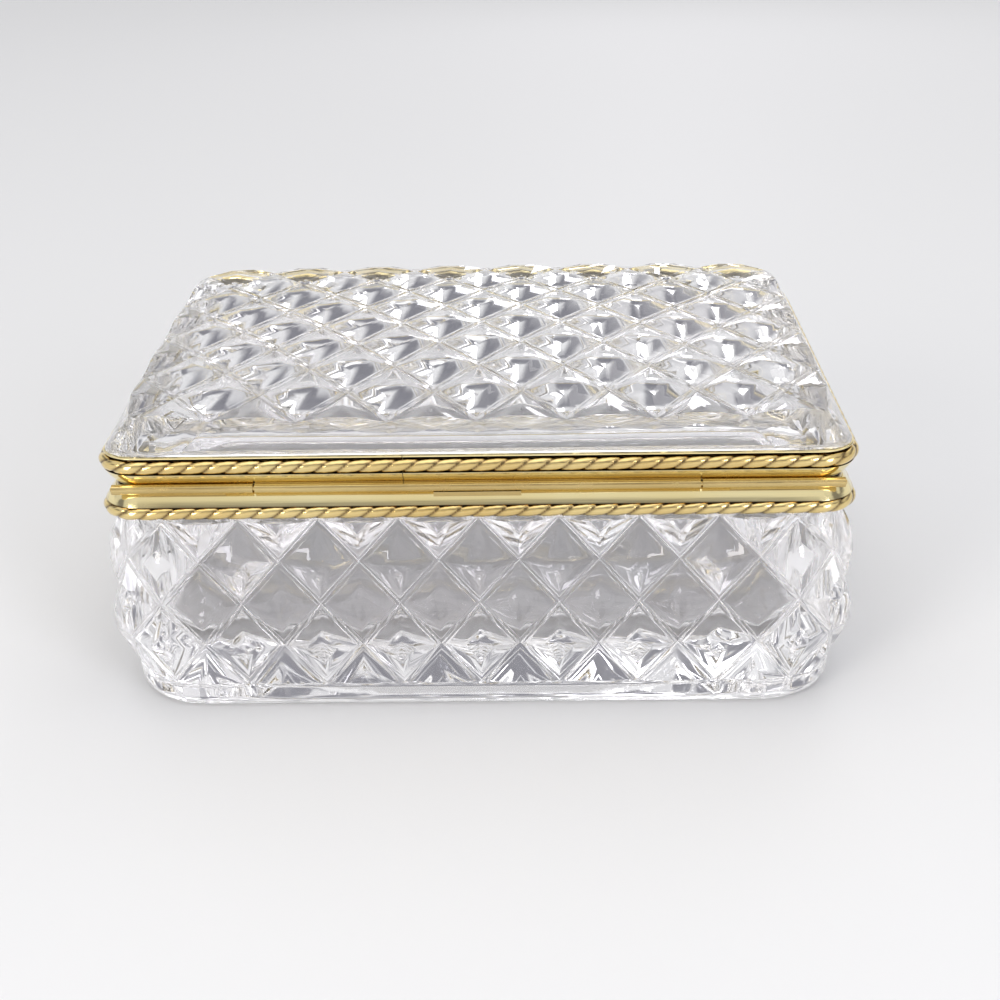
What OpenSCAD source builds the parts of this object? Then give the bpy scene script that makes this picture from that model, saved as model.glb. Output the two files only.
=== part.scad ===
// Glass casket: a moulded crystal bowl and a hinged crystal lid, both cut with a diamond
// lattice and edged with brass mounts. Origin: centre of the foot's underside, +Z up,
// X along the length, -Y the opening side, +Y the hinge side. Millimetres.

/* [Brass rim] */
// Length over the twisted borders
rim_length = 152; // [140:1:170]
// Depth over the twisted borders
rim_depth = 116; // [104:1:130]
// Corner radius over the twisted borders
rim_corner_r = 8.6; // [8.4:0.1:13]
// Height of the parting plane, where the two mounts meet
parting_z = 50.2; // [46:0.2:60]
// Gap between the two closed mounts
parting_gap = 0.4; // [0.3:0.05:0.8]
// Thickness of the brass sheet
sheet_t = 0.7; // [0.5:0.05:0.8]
// Diameter of the twisted border
border_d = 2.8; // [2.4:0.1:2.9]
// Flat on the border's back, where it is soldered to the mount's wall
border_flat = 0.2; // [0.1:0.05:0.4]
// Height from the parting plane to the bevel's outer edge
bevel_h = 3.5; // [3.3:0.1:4]
// How far the bevel's outer edge stands inside the twisted border
bevel_edge_in = 0.7; // [0.4:0.1:1]
// How far the bevel runs in towards the parting plane
bevel_run = 2.7; // [2.4:0.1:3.2]
// Height of the mount's wall behind the twisted border
wall_h = 2.9; // [2.8:0.1:3.6]
// Depth of the mount's inner lip below its flange
lip_h = 1.6; // [1.2:0.1:2.4]

/* [Glass and bedding] */
// Thickness of the cement between brass and glass
bedding_t = 0.5; // [0.3:0.05:0.7]
// Thickness of the glass neck held by the mounts
neck_t = 3.6; // [3:0.1:3.8]
// Height of the glass shoulder away from the end of the mount's wall
shoulder_gap = 0.8; // [0.6:0.1:1.4]
// Rise of each diamond's point above its grooves
diamond_rise = 1.2; // [0.6:0.1:2]
// Width of one diamond at the middle of a long side
diamond_pitch = 16.1; // [15.5:0.1:17.5]

/* [Bowl] */
// Thickness of the glass under the bowl's cavity
floor_t = 8; // [6:0.5:12]
// Corner radius of the bowl's cavity
cavity_corner_r = 8; // [6:0.5:10]
// How far the foot stands inside the twisted border
foot_inset = 2; // [1.6:0.2:8]
// Corner radius of the foot
foot_corner_r = 16; // [10:1:20]
// Radius on the foot's lower edge
foot_edge_r = 2; // [1:0.2:3]
// Height of the plain foot slab, where the lattice starts
lattice_foot_z = 6.4; // [4:0.1:8]
// How far the lattice's foot stands outside the twisted border
lattice_foot_out = -1.8; // [-3:0.1:0]
// Height of the widest part of the bowl
belly_z = 21.6; // [16:0.2:26]
// How far the belly bulges past the twisted border
belly_out = 0.4; // [0:0.1:6]
// How far the top of the lattice stands outside the twisted border
lattice_top_out = -1.8; // [-2.4:0.1:-1]
// Corner radius of the bowl at its belly
belly_corner_r = 13; // [11:1:24]
// Corner radius at the lattice's upper and lower ends
lattice_end_corner_r = 15; // [14:1:20]

/* [Lid] */
// Height of the lid's shoulder over the parting plane
lid_shoulder_h = 13.4; // [10.6:0.1:15]
// Rise of the dome from the shoulder to the crown
dome_rise = 3.2; // [2.4:0.1:6]
// How far the shoulder stands inside the border at the ends
shoulder_in_x = 5; // [2.6:0.1:6]
// How far the shoulder stands inside the border in the middle of a long side
shoulder_in_y = 4; // [3:0.1:7]
// How far the long sides of the shoulder draw in from the middle to the ends
shoulder_bow = 1.6; // [0:0.1:3]
// Corner radius of the lid's shoulder
shoulder_corner_r = 6; // [4:0.5:12]
// How far the lid's lower edge stands inside the border
lid_edge_in = 1.4; // [1:0.1:3.4]
// Height of the hollow's ceiling over the parting plane
lid_hollow_h = 8.4; // [8:0.1:9.4]

/* [Hinge] */
// Outer radius of the hinge barrel
barrel_r = 1; // [0.9:0.05:1.05]
// Radius of the hinge pin
pin_r = 0.45; // [0.4:0.05:0.5]
// Radial clearance round the pin
pin_clearance = 0.05; // [0.02:0.01:0.1]
// How far the hinge axis stands inside the twisted border
axis_in = 2.1; // [1.9:0.05:2.15]
// Half length of the whole barrel
barrel_half = 72.6; // [68:0.2:74]
// Distance of the two barrel seams from the middle
seam_x = 44.3; // [30:0.1:50]
// Gap in each seam
seam_gap = 0.4; // [0.3:0.05:0.8]
// Where the outer knuckles' collars start, from the middle
collar_x = 50; // [48:0.5:56]
// How far the collars reach down the bevel, from its point nearest to the barrel
collar_drop = 1.1; // [0.8:0.1:2]
// How far the pin's ends stand out of the barrel
pin_end = 0.3; // [0.1:0.1:0.6]
// Width of the web that joins a knuckle to its mount
web_w = 0.9; // [0.6:0.1:1.1]
// Half width of the stop lug in the middle of the hinge
stop_half = 8.7; // [6:0.1:12]
// How far the stop lug reaches down the bevel, from its point nearest to the barrel
stop_drop = 2; // [1.5:0.1:2.5]
// Clearance between the stop lug and the barrel
stop_clearance = 0.15; // [0.1:0.05:0.25]

/* [Clasp] */
// Width of the clasp's tongue
tongue_w = 6; // [4:0.2:8]
// Thickness of the clasp's tongue
tongue_t = 0.8; // [0.6:0.1:1]
// Distance from the pivot to the tongue's lower end
tongue_reach = 10.4; // [9.4:0.1:12]
// Height of the clasp's pivot over the parting plane
clasp_pivot_h = 2.9; // [2.6:0.1:3.2]
// How far the clasp's pivot stands outside the border
clasp_out = 1.4; // [1.3:0.1:2]
// Radius of the clasp's knuckles
clasp_r = 0.95; // [0.9:0.05:1]
// Radius of the clasp's pin
clasp_pin_r = 0.4; // [0.35:0.05:0.45]
// Width of each ear of the clasp's bracket
ear_w = 1.6; // [1:0.1:2.4]
// Side gap between the tongue and each ear
ear_gap = 0.3; // [0.2:0.05:0.5]
// Radius of the catch bead
bead_r = 0.9; // [0.7:0.05:1]
// Height of the catch bead below the parting plane
bead_drop = 1.8; // [1.6:0.1:2]
// Gap between the catch bead and the tongue
bead_gap = 0.3; // [0.2:0.05:0.5]

/* [Hidden] */
$fn = 48;

half_x = rim_length / 2;
half_y = rim_depth / 2;
half_gap = parting_gap / 2;
overlap = 0.4;                       // how far fused blocks run into each other

// Steps inwards from the twisted border's outer edge to each layer of the mount
wall_face_in = border_d - border_flat;
wall_back_in = wall_face_in + sheet_t;
neck_face_in = wall_back_in + bedding_t;
neck_back_in = neck_face_in + neck_t;
lip_back_in = neck_back_in + sheet_t;

// Heights away from the parting plane, the same for bowl and lid
flange_h = half_gap + sheet_t;
neck_end_h = flange_h + bedding_t;
border_h = bevel_h + border_d / 2;
wall_end_h = bevel_h + wall_h;
glass_shoulder_h = wall_end_h + shoulder_gap;

// Diamonds round the bowl: counts on a long and a short side, from middle arc to middle arc
long_count = 9;
short_count = 7;
round_count = 2 * (long_count + short_count);
row_count = 5;
lattice_top_z = parting_z - glass_shoulder_h;

// Diamonds across the lid
lid_long = 8;
lid_short = 4;

// Height of a lattice row: rows lie closer towards the top, as on the pressed bowl
function row_z(k) = lattice_top_z
    - (lattice_top_z - lattice_foot_z) * pow(k / (row_count - 1), 1.06);

// How far the bowl's section stands outside the border at height z
function bulge(z) = z > belly_z
    ? belly_out - (belly_out - lattice_top_out)
        * (1 - sqrt(1 - pow(0.92 * (z - belly_z) / (lattice_top_z - belly_z), 2)))
        / (1 - sqrt(1 - pow(0.92, 2)))
    : belly_out - (belly_out - lattice_foot_out)
        * (1 - sqrt(1 - pow(0.96 * (belly_z - z) / (belly_z - lattice_foot_z), 2)))
        / (1 - sqrt(1 - pow(0.96, 2)));

// Corner radius of the bowl's plan at height z
function plan_r(z) = lattice_end_corner_r + (belly_corner_r - lattice_end_corner_r)
    * (z > belly_z
        ? 1 - pow((z - belly_z) / (lattice_top_z - belly_z), 2)
        : 1 - pow((belly_z - z) / (belly_z - lattice_foot_z), 2));

// Distance along a half side at u diamonds from its middle; the corner takes the slack
function along(u, length, count, pitch) = pitch * u
    + (length - pitch * count / 2) * pow(abs(u) / (count / 2), 8) * sign(u);

// Point of a rounded rectangle's quarter at distance s from the middle of the +Y side
function on_long(s, hx, hy, r) = let(flat = hx - r)
    abs(s) < flat ? [s, hy]
    : let(a = (abs(s) - flat) / r * 180 / PI)
        [sign(s) * (flat + r * sin(a)), hy - r + r * cos(a)];

// Point at u diamonds from the middle of a side, and its outward direction
function side_point(u, hx, hy, r, count, pitch) =
    on_long(along(u, hx - r + PI * r / 4, count, pitch), hx, hy, r);
function side_normal(u, hx, hy, r, count, pitch) =
    let(s = along(u, hx - r + PI * r / 4, count, pitch), flat = hx - r)
    abs(s) < flat ? [0, 1]
    : let(a = (abs(s) - flat) / r * 180 / PI) [sign(s) * sin(a), cos(a)];

// The same, for w diamonds all round, starting at the middle of the +Y side, clockwise
function short_pitch(hy, r) = (hy - r + PI * r / 4) / (short_count / 2);
function turn2(p, q) = q == 0 ? p : q == 1 ? [p[1], -p[0]] : q == 2 ? [-p[0], -p[1]] : [-p[1], p[0]];
function side_of(w) = w < long_count / 2 ? 0
    : w < long_count / 2 + short_count ? 1
    : w < long_count * 1.5 + short_count ? 2
    : w < long_count * 1.5 + 2 * short_count ? 3 : 4;
function side_start(q) = [0, (long_count + short_count) / 2, long_count + short_count,
    (3 * long_count + 3 * short_count) / 2, round_count][q];
function round_point(w, hx, hy, r) = let(q = side_of(w), u = w - side_start(q))
    q % 2 == 0
    ? turn2(side_point(u, hx, hy, r, long_count, diamond_pitch), q % 4)
    : turn2(side_point(u, hy, hx, r, short_count, short_pitch(hy, r)), q);
function round_normal(w, hx, hy, r) = let(q = side_of(w), u = w - side_start(q))
    q % 2 == 0
    ? turn2(side_normal(u, hx, hy, r, long_count, diamond_pitch), q % 4)
    : turn2(side_normal(u, hy, hx, r, short_count, short_pitch(hy, r)), q);

// A lattice point of the bowl: row k, w diamonds round, lifted along the wall's normal
function bowl_point(k, w, lift) = let(
        z = row_z(k), out = bulge(z), r = plan_r(z),
        ww = w >= round_count ? w - round_count : w,
        p = round_point(ww, half_x + out, half_y + out, r),
        n = round_normal(ww, half_x + out, half_y + out, r))
    [p[0] + lift * n[0], p[1] + lift * n[1], z];

// Lid lattice: u across from -4 to 4, v from -2 to 2, corners drawn in to the radius
function lid_point(u, v, lift) = let(
        sx = half_x - shoulder_in_x, sy = half_y - shoulder_in_y,
        fu = 2 * u / lid_long, fv = 2 * v / lid_short,
        draw = shoulder_corner_r * (1 - cos(45)) * pow(abs(fu), 8) * pow(abs(fv), 8),
        x = sx * fu - draw * sign(u),
        y = (sy - shoulder_bow * fu * fu) * fv - draw * sign(v))
    [x, y, parting_z + lid_shoulder_h + dome_rise * (1 - fu * fu) * (1 - fv * fv) + lift];

// Plan outline: a rounded rectangle set in by a distance from the twisted border
module plan(inset, corner_r) {
    hx = half_x - inset;
    hy = half_y - inset;
    square([2 * hx, 2 * (hy - corner_r)], center = true);
    square([2 * (hx - corner_r), 2 * hy], center = true);
    for (sx = [-1, 1], sy = [-1, 1])
        translate([sx * (hx - corner_r), sy * (hy - corner_r)])
            circle(corner_r);
}

// Carries a section round the rim. The section's x is the distance outside the border's
// outer edge (negative inside), its y is the height.
module round_rim() {
    cx = half_x - rim_corner_r;
    cy = half_y - rim_corner_r;
    for (side = [0, 1])
        rotate(180 * side) {
            translate([cx, -cy, 0])
                rotate([90, 0, 180])
                    mirror([1, 0, 0])
                        linear_extrude(2 * cy)
                            translate([rim_corner_r, 0])
                                children();
            translate([cx, cy, 0])
                rotate([90, 0, 90])
                    translate([0, 0, -2 * cx])
                        linear_extrude(2 * cx)
                            translate([rim_corner_r, 0])
                                children();
        }
    for (q = [0 : 3])
        translate([cx * (q == 0 || q == 3 ? 1 : -1), cy * (q < 2 ? 1 : -1), 0])
            rotate(90 * q)
                rotate_extrude(angle = 90)
                    translate([rim_corner_r, 0])
                        children();
}

// Places a section of the lid's side: heights count away from the parting plane
module over_parting(up) {
    translate([0, parting_z])
        mirror([0, up ? 0 : 1])
            children();
}

// Section of a mount: wall, outer bevel, flange and inner lip in one folded sheet
module mount_section() {
    polygon([
        [-wall_face_in, wall_end_h],
        [-wall_face_in, bevel_h],
        [-bevel_edge_in, bevel_h],
        [-bevel_edge_in - bevel_run, half_gap],
        [-lip_back_in, half_gap],
        [-lip_back_in, flange_h + lip_h],
        [-neck_back_in, flange_h + lip_h],
        [-neck_back_in, flange_h],
        [-wall_back_in, flange_h],
        [-wall_back_in, wall_end_h]
    ]);
}

// Section of the cement that fills the channel between glass and brass
module bedding_section() {
    polygon([
        [-wall_back_in, wall_end_h],
        [-wall_back_in, flange_h],
        [-neck_back_in, flange_h],
        [-neck_back_in, neck_end_h],
        [-neck_face_in, neck_end_h],
        [-neck_face_in, wall_end_h]
    ]);
}

// Section of the twisted border, flat where it meets the wall
module border_section() {
    intersection() {
        translate([-border_d / 2, border_h])
            circle(border_d / 2);
        translate([-wall_face_in, bevel_h])
            square([wall_face_in, border_d]);
    }
}

// Diamond lattice of the bowl as one closed body with flat ends
module bowl_lattice() {
    n = round_count;
    last = row_count - 1;
    // Even rows have grooves crossing at whole numbers, odd rows half-way between
    cross = [for (k = [0 : last], i = [0 : n - 1]) bowl_point(k, i + (k % 2) / 2, 0)];
    tips = [for (k = [0 : last], i = [0 : n - 1]) bowl_point(k, i + (1 - k % 2) / 2, diamond_rise)];
    tip0 = len(cross);
    centres = [[0, 0, row_z(0)], [0, 0, row_z(last)]];
    mid0 = tip0 + len(tips);
    // Corners of the diamond whose tip is number i of row k
    function left_c(k, i) = k * n + (k % 2 == 0 ? i : (i + n - 1) % n);
    function right_c(k, i) = k * n + (k % 2 == 0 ? (i + 1) % n : i);
    function over_c(k, i) = (k - 1) * n + i;
    function under_c(k, i) = (k + 1) * n + i;
    faces = [
        for (k = [0 : last], i = [0 : n - 1]) let(t = tip0 + k * n + i) each [
            if (k > 0) [left_c(k, i), t, over_c(k, i)],
            if (k > 0) [over_c(k, i), t, right_c(k, i)],
            if (k < last) [left_c(k, i), under_c(k, i), t],
            if (k < last) [t, under_c(k, i), right_c(k, i)]
        ],
        for (i = [0 : n - 1]) each [
            [left_c(0, i), tip0 + i, mid0],
            [tip0 + i, right_c(0, i), mid0],
            [tip0 + last * n + i, left_c(last, i), mid0 + 1],
            [right_c(last, i), tip0 + last * n + i, mid0 + 1]
        ]
    ];
    polyhedron(concat(cross, tips, centres), faces);
}

// Diamond lattice of the lid's dome with its plain sides, closed below
module lid_lattice() {
    rows = 2 * lid_short;
    // Row j, number i: crossings and tips take turns along each row
    points = [for (j = [0 : rows], i = [0 : 2 * lid_long])
        lid_point(i / 2 - lid_long / 2, j / 2 - lid_short / 2, (i + j) % 2 == 0 ? 0 : diamond_rise)];
    w = 2 * lid_long + 1;
    // The rim of the field, anticlockwise from above
    rim = [
        for (i = [0 : 2 * lid_long - 1]) i,
        for (j = [0 : rows - 1]) j * w + w - 1,
        for (i = [0 : 2 * lid_long - 1]) rows * w + w - 1 - i,
        for (j = [0 : rows - 1]) (rows - j) * w
    ];
    edge = [for (id = rim) let(
            p = points[id],
            hx = half_x - lid_edge_in,
            hy = half_y - lid_edge_in)
        [p[0] * hx / (half_x - shoulder_in_x), p[1] * hy / (half_y - shoulder_in_y),
            parting_z + glass_shoulder_h]];
    e0 = len(points);
    m = len(rim);
    base = e0 + m;
    faces = [
        // Each tip with the four crossings about it, as far as they exist
        for (j = [0 : rows], i = [0 : 2 * lid_long]) if ((i + j) % 2 == 1) let(t = j * w + i) each [
            if (i > 0 && j > 0) [t, t - 1, t - w],
            if (i < 2 * lid_long && j > 0) [t, t - w, t + 1],
            if (i < 2 * lid_long && j < rows) [t, t + 1, t + w],
            if (i > 0 && j < rows) [t, t + w, t - 1]
        ],
        for (k = [0 : m - 1]) each [
            [rim[k], e0 + (k + 1) % m, e0 + k],
            [rim[k], rim[(k + 1) % m], e0 + (k + 1) % m],
            [e0 + k, e0 + (k + 1) % m, base]
        ]
    ];
    // Faces are listed seen from above; the solver wants them clockwise from outside
    polyhedron(concat(points, edge, [[0, 0, parting_z + glass_shoulder_h]]),
        [for (f = faces) [f[2], f[1], f[0]]]);
}

module glass_bowl() {
    color("lightcyan", 0.5)
        difference() {
            union() {
                bowl_lattice();
                translate([0, 0, lattice_top_z - overlap])
                    linear_extrude(parting_z - neck_end_h - lattice_top_z + overlap)
                        plan(neck_face_in, rim_corner_r - neck_face_in);
                translate([0, 0, foot_edge_r])
                    linear_extrude(lattice_foot_z + overlap - foot_edge_r)
                        plan(foot_inset, foot_corner_r);
                linear_extrude(foot_edge_r + overlap)
                    plan(foot_inset + foot_edge_r / 2, foot_corner_r - foot_edge_r / 2);
            }
            translate([0, 0, floor_t])
                linear_extrude(lattice_top_z - floor_t)
                    plan(neck_back_in, cavity_corner_r);
            translate([0, 0, lattice_top_z - overlap])
                linear_extrude(parting_z)
                    plan(neck_back_in, rim_corner_r - neck_back_in);
        }
}

module glass_lid() {
    color("lightcyan", 0.5)
        difference() {
            union() {
                lid_lattice();
                translate([0, 0, parting_z + neck_end_h])
                    linear_extrude(glass_shoulder_h - neck_end_h + overlap)
                        plan(neck_face_in, rim_corner_r - neck_face_in);
            }
            translate([0, 0, parting_z])
                linear_extrude(lid_hollow_h)
                    plan(neck_back_in, cavity_corner_r);
            translate([0, 0, parting_z])
                linear_extrude(glass_shoulder_h)
                    plan(neck_back_in, rim_corner_r - neck_back_in);
        }
}

module bowl_bedding() {
    color("ivory") round_rim() over_parting(false) bedding_section();
}

module lid_bedding() {
    color("ivory") round_rim() over_parting(true) bedding_section();
}

module bowl_mount() {
    color("goldenrod") round_rim() over_parting(false) mount_section();
}

module lid_mount() {
    color("goldenrod") round_rim() over_parting(true) mount_section();
}

module bowl_border() {
    color("gold") round_rim() over_parting(false) border_section();
}

module lid_border() {
    color("gold") round_rim() over_parting(true) border_section();
}

// Hinge. Sections here have x outwards from the hinge axis and y upwards from it.
axis_y = half_y - axis_in;
// Corners of the bevel, seen from the hinge axis, on the bowl's side
bevel_low = [axis_in - bevel_edge_in, -bevel_h];
bevel_high = [axis_in - bevel_edge_in - bevel_run, -half_gap];
bevel_len = norm(bevel_high - bevel_low);
bevel_dir = (bevel_high - bevel_low) / bevel_len;
// Point of the bevel nearest to the axis
bevel_near = bevel_low - (bevel_low * bevel_dir) * bevel_dir;
near_dir = bevel_near / norm(bevel_near);

// A bar along X through the hinge axis, from x0 to x1, with the children as its section
module along_hinge(x0, x1) {
    translate([x0, axis_y, parting_z])
        rotate([90, 0, 90])
            linear_extrude(x1 - x0)
                children();
}

// Section of the web between barrel and bevel
module web_section() {
    polygon([
        near_dir * (barrel_r - sheet_t / 3) + bevel_dir * web_w / 2,
        near_dir * (barrel_r - sheet_t / 3) - bevel_dir * web_w / 2,
        bevel_near - bevel_dir * web_w / 2,
        bevel_near + bevel_dir * web_w / 2
    ]);
}

// Section of the outer knuckles' collar, which fills the gap below the barrel
module collar_section() {
    polygon([
        near_dir * (barrel_r - sheet_t / 3) + bevel_dir * web_w / 2,
        [barrel_r * cos(-50), barrel_r * sin(-50)] * 0.95,
        bevel_near - bevel_dir * collar_drop,
        bevel_near + bevel_dir * web_w / 2
    ]);
}

module pin_bore() {
    along_hinge(-rim_length, rim_length)
        circle(pin_r + pin_clearance);
}

// One base knuckle with its collar, on the side given by +1 or -1
module outer_knuckle(side) {
    straight_end = half_x - rim_corner_r;
    difference() {
        mirror([side > 0 ? 0 : 1, 0, 0]) {
            along_hinge(seam_x + seam_gap / 2, barrel_half)
                circle(barrel_r);
            along_hinge(collar_x, straight_end)
                collar_section();
        }
        pin_bore();
    }
}

module left_hinge_knuckle() {
    color("goldenrod") outer_knuckle(1);
}

module right_hinge_knuckle() {
    color("goldenrod") outer_knuckle(-1);
}

module centre_hinge_knuckle() {
    inner = seam_x - seam_gap / 2;
    color("goldenrod")
        difference() {
            union() {
                along_hinge(-inner, inner)
                    circle(barrel_r);
                along_hinge(-inner, inner)
                    mirror([0, 1])
                        web_section();
            }
            pin_bore();
        }
}

module hinge_pin() {
    color("darkgoldenrod")
        along_hinge(-barrel_half - pin_end, barrel_half + pin_end)
            circle(pin_r);
}

// Lug soldered on the bowl's bevel under the middle of the barrel
module stop_lug() {
    face = barrel_r + stop_clearance;
    color("goldenrod")
        along_hinge(-stop_half, stop_half)
            difference() {
                polygon([
                    [face * cos(-60), face * sin(-60)],
                    bevel_near - bevel_dir * stop_drop,
                    bevel_near - bevel_dir * web_w * 2 / 3
                ]);
                circle(face);
            }
}

// Clasp. Sections here have x outwards from the clasp's pivot and y upwards from it.
clasp_y = -(half_y + clasp_out);
clasp_z = parting_z + clasp_pivot_h;
ear_x = tongue_w / 2 + ear_gap;
module along_clasp(x0, x1) {
    translate([x1, clasp_y, clasp_z])
        rotate([90, 0, -90])
            linear_extrude(x1 - x0)
                children();
}

// Where the lid's bevel lies at a height over the parting plane, from the pivot
function bevel_at(h) = -clasp_out - bevel_edge_in
    - bevel_run * (bevel_h - h) / (bevel_h - half_gap);

// Two ears soldered on the lid's bevel; each holds one end of the pin
module clasp_bracket() {
    root_low = clasp_pivot_h - clasp_r;
    root_high = bevel_h;
    color("goldenrod")
        difference() {
            for (x0 = [-ear_x - ear_w, ear_x])
                along_clasp(x0, x0 + ear_w) {
                    circle(clasp_r);
                    polygon([
                        [0, -clasp_r],
                        [bevel_at(root_low), root_low - clasp_pivot_h],
                        [bevel_at(root_high), root_high - clasp_pivot_h],
                        [0, root_high - clasp_pivot_h]
                    ]);
                }
            along_clasp(-rim_length, rim_length)
                circle(clasp_pin_r + pin_clearance);
        }
}

module clasp_pin() {
    color("darkgoldenrod")
        along_clasp(-ear_x - ear_w - pin_end, ear_x + ear_w + pin_end)
            circle(clasp_pin_r);
}

// Tongue that hangs over both mounts, with a round knuckle and a round tip
module clasp_tongue() {
    color("goldenrod")
        difference() {
            union() {
                along_clasp(-tongue_w / 2, tongue_w / 2)
                    circle(clasp_r);
                translate([0, clasp_y, clasp_z - tongue_reach + tongue_w / 2])
                    rotate([90, 0, 0])
                        linear_extrude(tongue_t) {
                            circle(tongue_w / 2);
                            translate([-tongue_w / 2, 0])
                                square([tongue_w, tongue_reach - tongue_w / 2]);
                        }
            }
            along_clasp(-rim_length, rim_length)
                circle(clasp_pin_r + pin_clearance);
        }
}

// Bead on a short stem, soldered on the bowl's bevel behind the tongue
module catch_bead() {
    tip_y = clasp_y + bead_gap;
    z = parting_z - bead_drop;
    bevel_y = -(half_y - bevel_edge_in - bevel_run * (bevel_h - bead_drop) / (bevel_h - half_gap));
    color("gold")
        difference() {
            union() {
                translate([0, tip_y + bead_r, z])
                    sphere(bead_r);
                translate([0, tip_y + bead_r, z])
                    rotate([-90, 0, 0])
                        cylinder(h = bevel_y - tip_y - bead_r + bead_r, r = bead_r * 0.6);
            }
            // The stem ends on the bevel's own slope
            rotate([90, 0, 90])
                translate([0, 0, -bead_r])
                    linear_extrude(2 * bead_r)
                        polygon([
                            [-(half_y - bevel_edge_in), parting_z - bevel_h],
                            [-(half_y - bevel_edge_in - bevel_run), parting_z - half_gap],
                            [0, parting_z - half_gap],
                            [0, parting_z - bevel_h]
                        ]);
        }
}

glass_bowl();
glass_lid();
bowl_bedding();
lid_bedding();
bowl_mount();
lid_mount();
bowl_border();
lid_border();
left_hinge_knuckle();
right_hinge_knuckle();
centre_hinge_knuckle();
hinge_pin();
stop_lug();
clasp_bracket();
clasp_pin();
clasp_tongue();
catch_bead();
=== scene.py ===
# %% [markdown]
# # A cut-crystal casket in twisted brass mounts
# The real box is two thick pieces of pressed crystal, a bowl and a lid. Each is set with cement
# into a folded brass mount, and the mounts meet at a hinge along the back and a small clasp
# in front. The mechanics come in as a finished model in metres. This script dresses it: it puts
# carved glass, rolled brass and twisted borders in the places that the model gives, and lights it.

import bpy
import numpy as np
from mathutils import Matrix


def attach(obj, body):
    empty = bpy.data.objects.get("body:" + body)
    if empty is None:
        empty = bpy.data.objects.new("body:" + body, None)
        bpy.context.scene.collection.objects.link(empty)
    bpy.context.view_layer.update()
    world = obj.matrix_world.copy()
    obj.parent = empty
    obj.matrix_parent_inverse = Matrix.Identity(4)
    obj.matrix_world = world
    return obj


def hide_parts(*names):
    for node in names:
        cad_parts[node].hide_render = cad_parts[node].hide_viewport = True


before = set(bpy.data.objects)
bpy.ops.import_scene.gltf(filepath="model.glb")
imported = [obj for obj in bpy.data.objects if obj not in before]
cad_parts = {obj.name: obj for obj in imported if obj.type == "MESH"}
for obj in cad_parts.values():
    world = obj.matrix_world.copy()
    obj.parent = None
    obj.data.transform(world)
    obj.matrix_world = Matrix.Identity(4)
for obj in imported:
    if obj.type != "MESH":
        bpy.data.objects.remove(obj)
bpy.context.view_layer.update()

# %% [markdown]
# ## The sizes everything follows
# A maker starts from the brass rim: its outside length and depth, and the plane where bowl and
# lid part. Every other line is counted inwards or outwards from the rim's edge, in millimetres,
# so one number moves all that belongs together. Millimetres are turned to metres in one place,
# where a mesh is made.

# %% Sizes of the rim, in millimetres
MM = 0.001
HALF_LONG = 76.0
HALF_DEEP = 58.0
RIM_CORNER = 8.6
PARTING = 50.2
HALF_GAP = 0.2
BEVEL_EDGE_IN = 0.7
BEVEL_TOP_IN = 3.4
BEVEL_HEIGHT = 3.5
WALL_IN = 2.6
WALL_BACK_IN = 3.3
WALL_END = 6.4
NECK_IN = 3.87
NECK_BACK_IN = 7.33
LIP_BACK_IN = 8.1
BACK_STRIP_IN = 7.4
NECK_END = 1.47
SHOULDER = 7.2
BORDER_RADIUS = 1.4
BORDER_HEIGHT = 4.9
print("rim", 2 * HALF_LONG, "x", 2 * HALF_DEEP, "mm, parting at", PARTING)

# %% [markdown]
# ## Putting a numpy shape into Blender
# All new pieces are arrays of points and faces. One helper scales them to metres and hands them
# to Blender. Flat faces look cut, smooth ones look moulded or polished, so each face says which
# of the two it is.


# %% A helper from arrays to a piece
def make_piece(name, points, faces, material, smooth=(), crease=None):
    """Makes an object from points in millimetres and a list of face arrays.

    smooth lists, block by block, whether the faces of that block shade smoothly.
    """
    mesh = bpy.data.meshes.new(name)
    rows = [row for block in faces for row in block.tolist()]
    mesh.from_pydata((points * MM).tolist(), [], rows)
    flags = np.concatenate([np.full(len(b), bool(s)) for b, s in zip(faces, smooth)])
    mesh.polygons.foreach_set("use_smooth", flags)
    if crease is not None:
        mesh.set_sharp_from_angle(angle=np.radians(crease))
    mesh.materials.append(material)
    mesh.update()
    piece = bpy.data.objects.new(name, mesh)
    bpy.context.scene.collection.objects.link(piece)
    return piece


def report(piece):
    """Prints how many faces a piece has, and whether every edge has two faces."""
    mesh = piece.data
    count = np.zeros(len(mesh.edges), int)
    edge_of = np.zeros(len(mesh.loops), int)
    mesh.loops.foreach_get("edge_index", edge_of)
    np.add.at(count, edge_of, 1)
    sizes = np.zeros(len(mesh.polygons), int)
    mesh.polygons.foreach_get("loop_total", sizes)
    print(piece.name, "has", int((sizes - 2).sum()), "triangles, open edges:",
          int((count != 2).sum()))


# %% [markdown]
# ## Shader helpers
# Finishes are built from nodes. Three effects are used by more than one finish, so each is a
# node group: a slow cloudiness, fine scratches, and a darkening in hollows that is partly dirt
# and partly painted shade. The groups give out only values, and the shader stays in the material
# itself.


# %% Helpers for nodes
def put(tree, kind, fixed=None, **linked):
    """Adds a node; numbers are set on its sockets, sockets of other nodes are linked."""
    node = tree.nodes.new(kind)
    for key, value in (fixed or {}).items():
        setattr(node, key, value)
    for key, value in linked.items():
        name = key.replace("_", " ")
        slots = [s for s in node.inputs if s.name == name and s.enabled]
        socket = slots[0] if slots else node.inputs[int(key[1:])]
        if hasattr(value, "is_output"):
            tree.links.new(value, socket)
        else:
            socket.default_value = value
    return node


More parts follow.
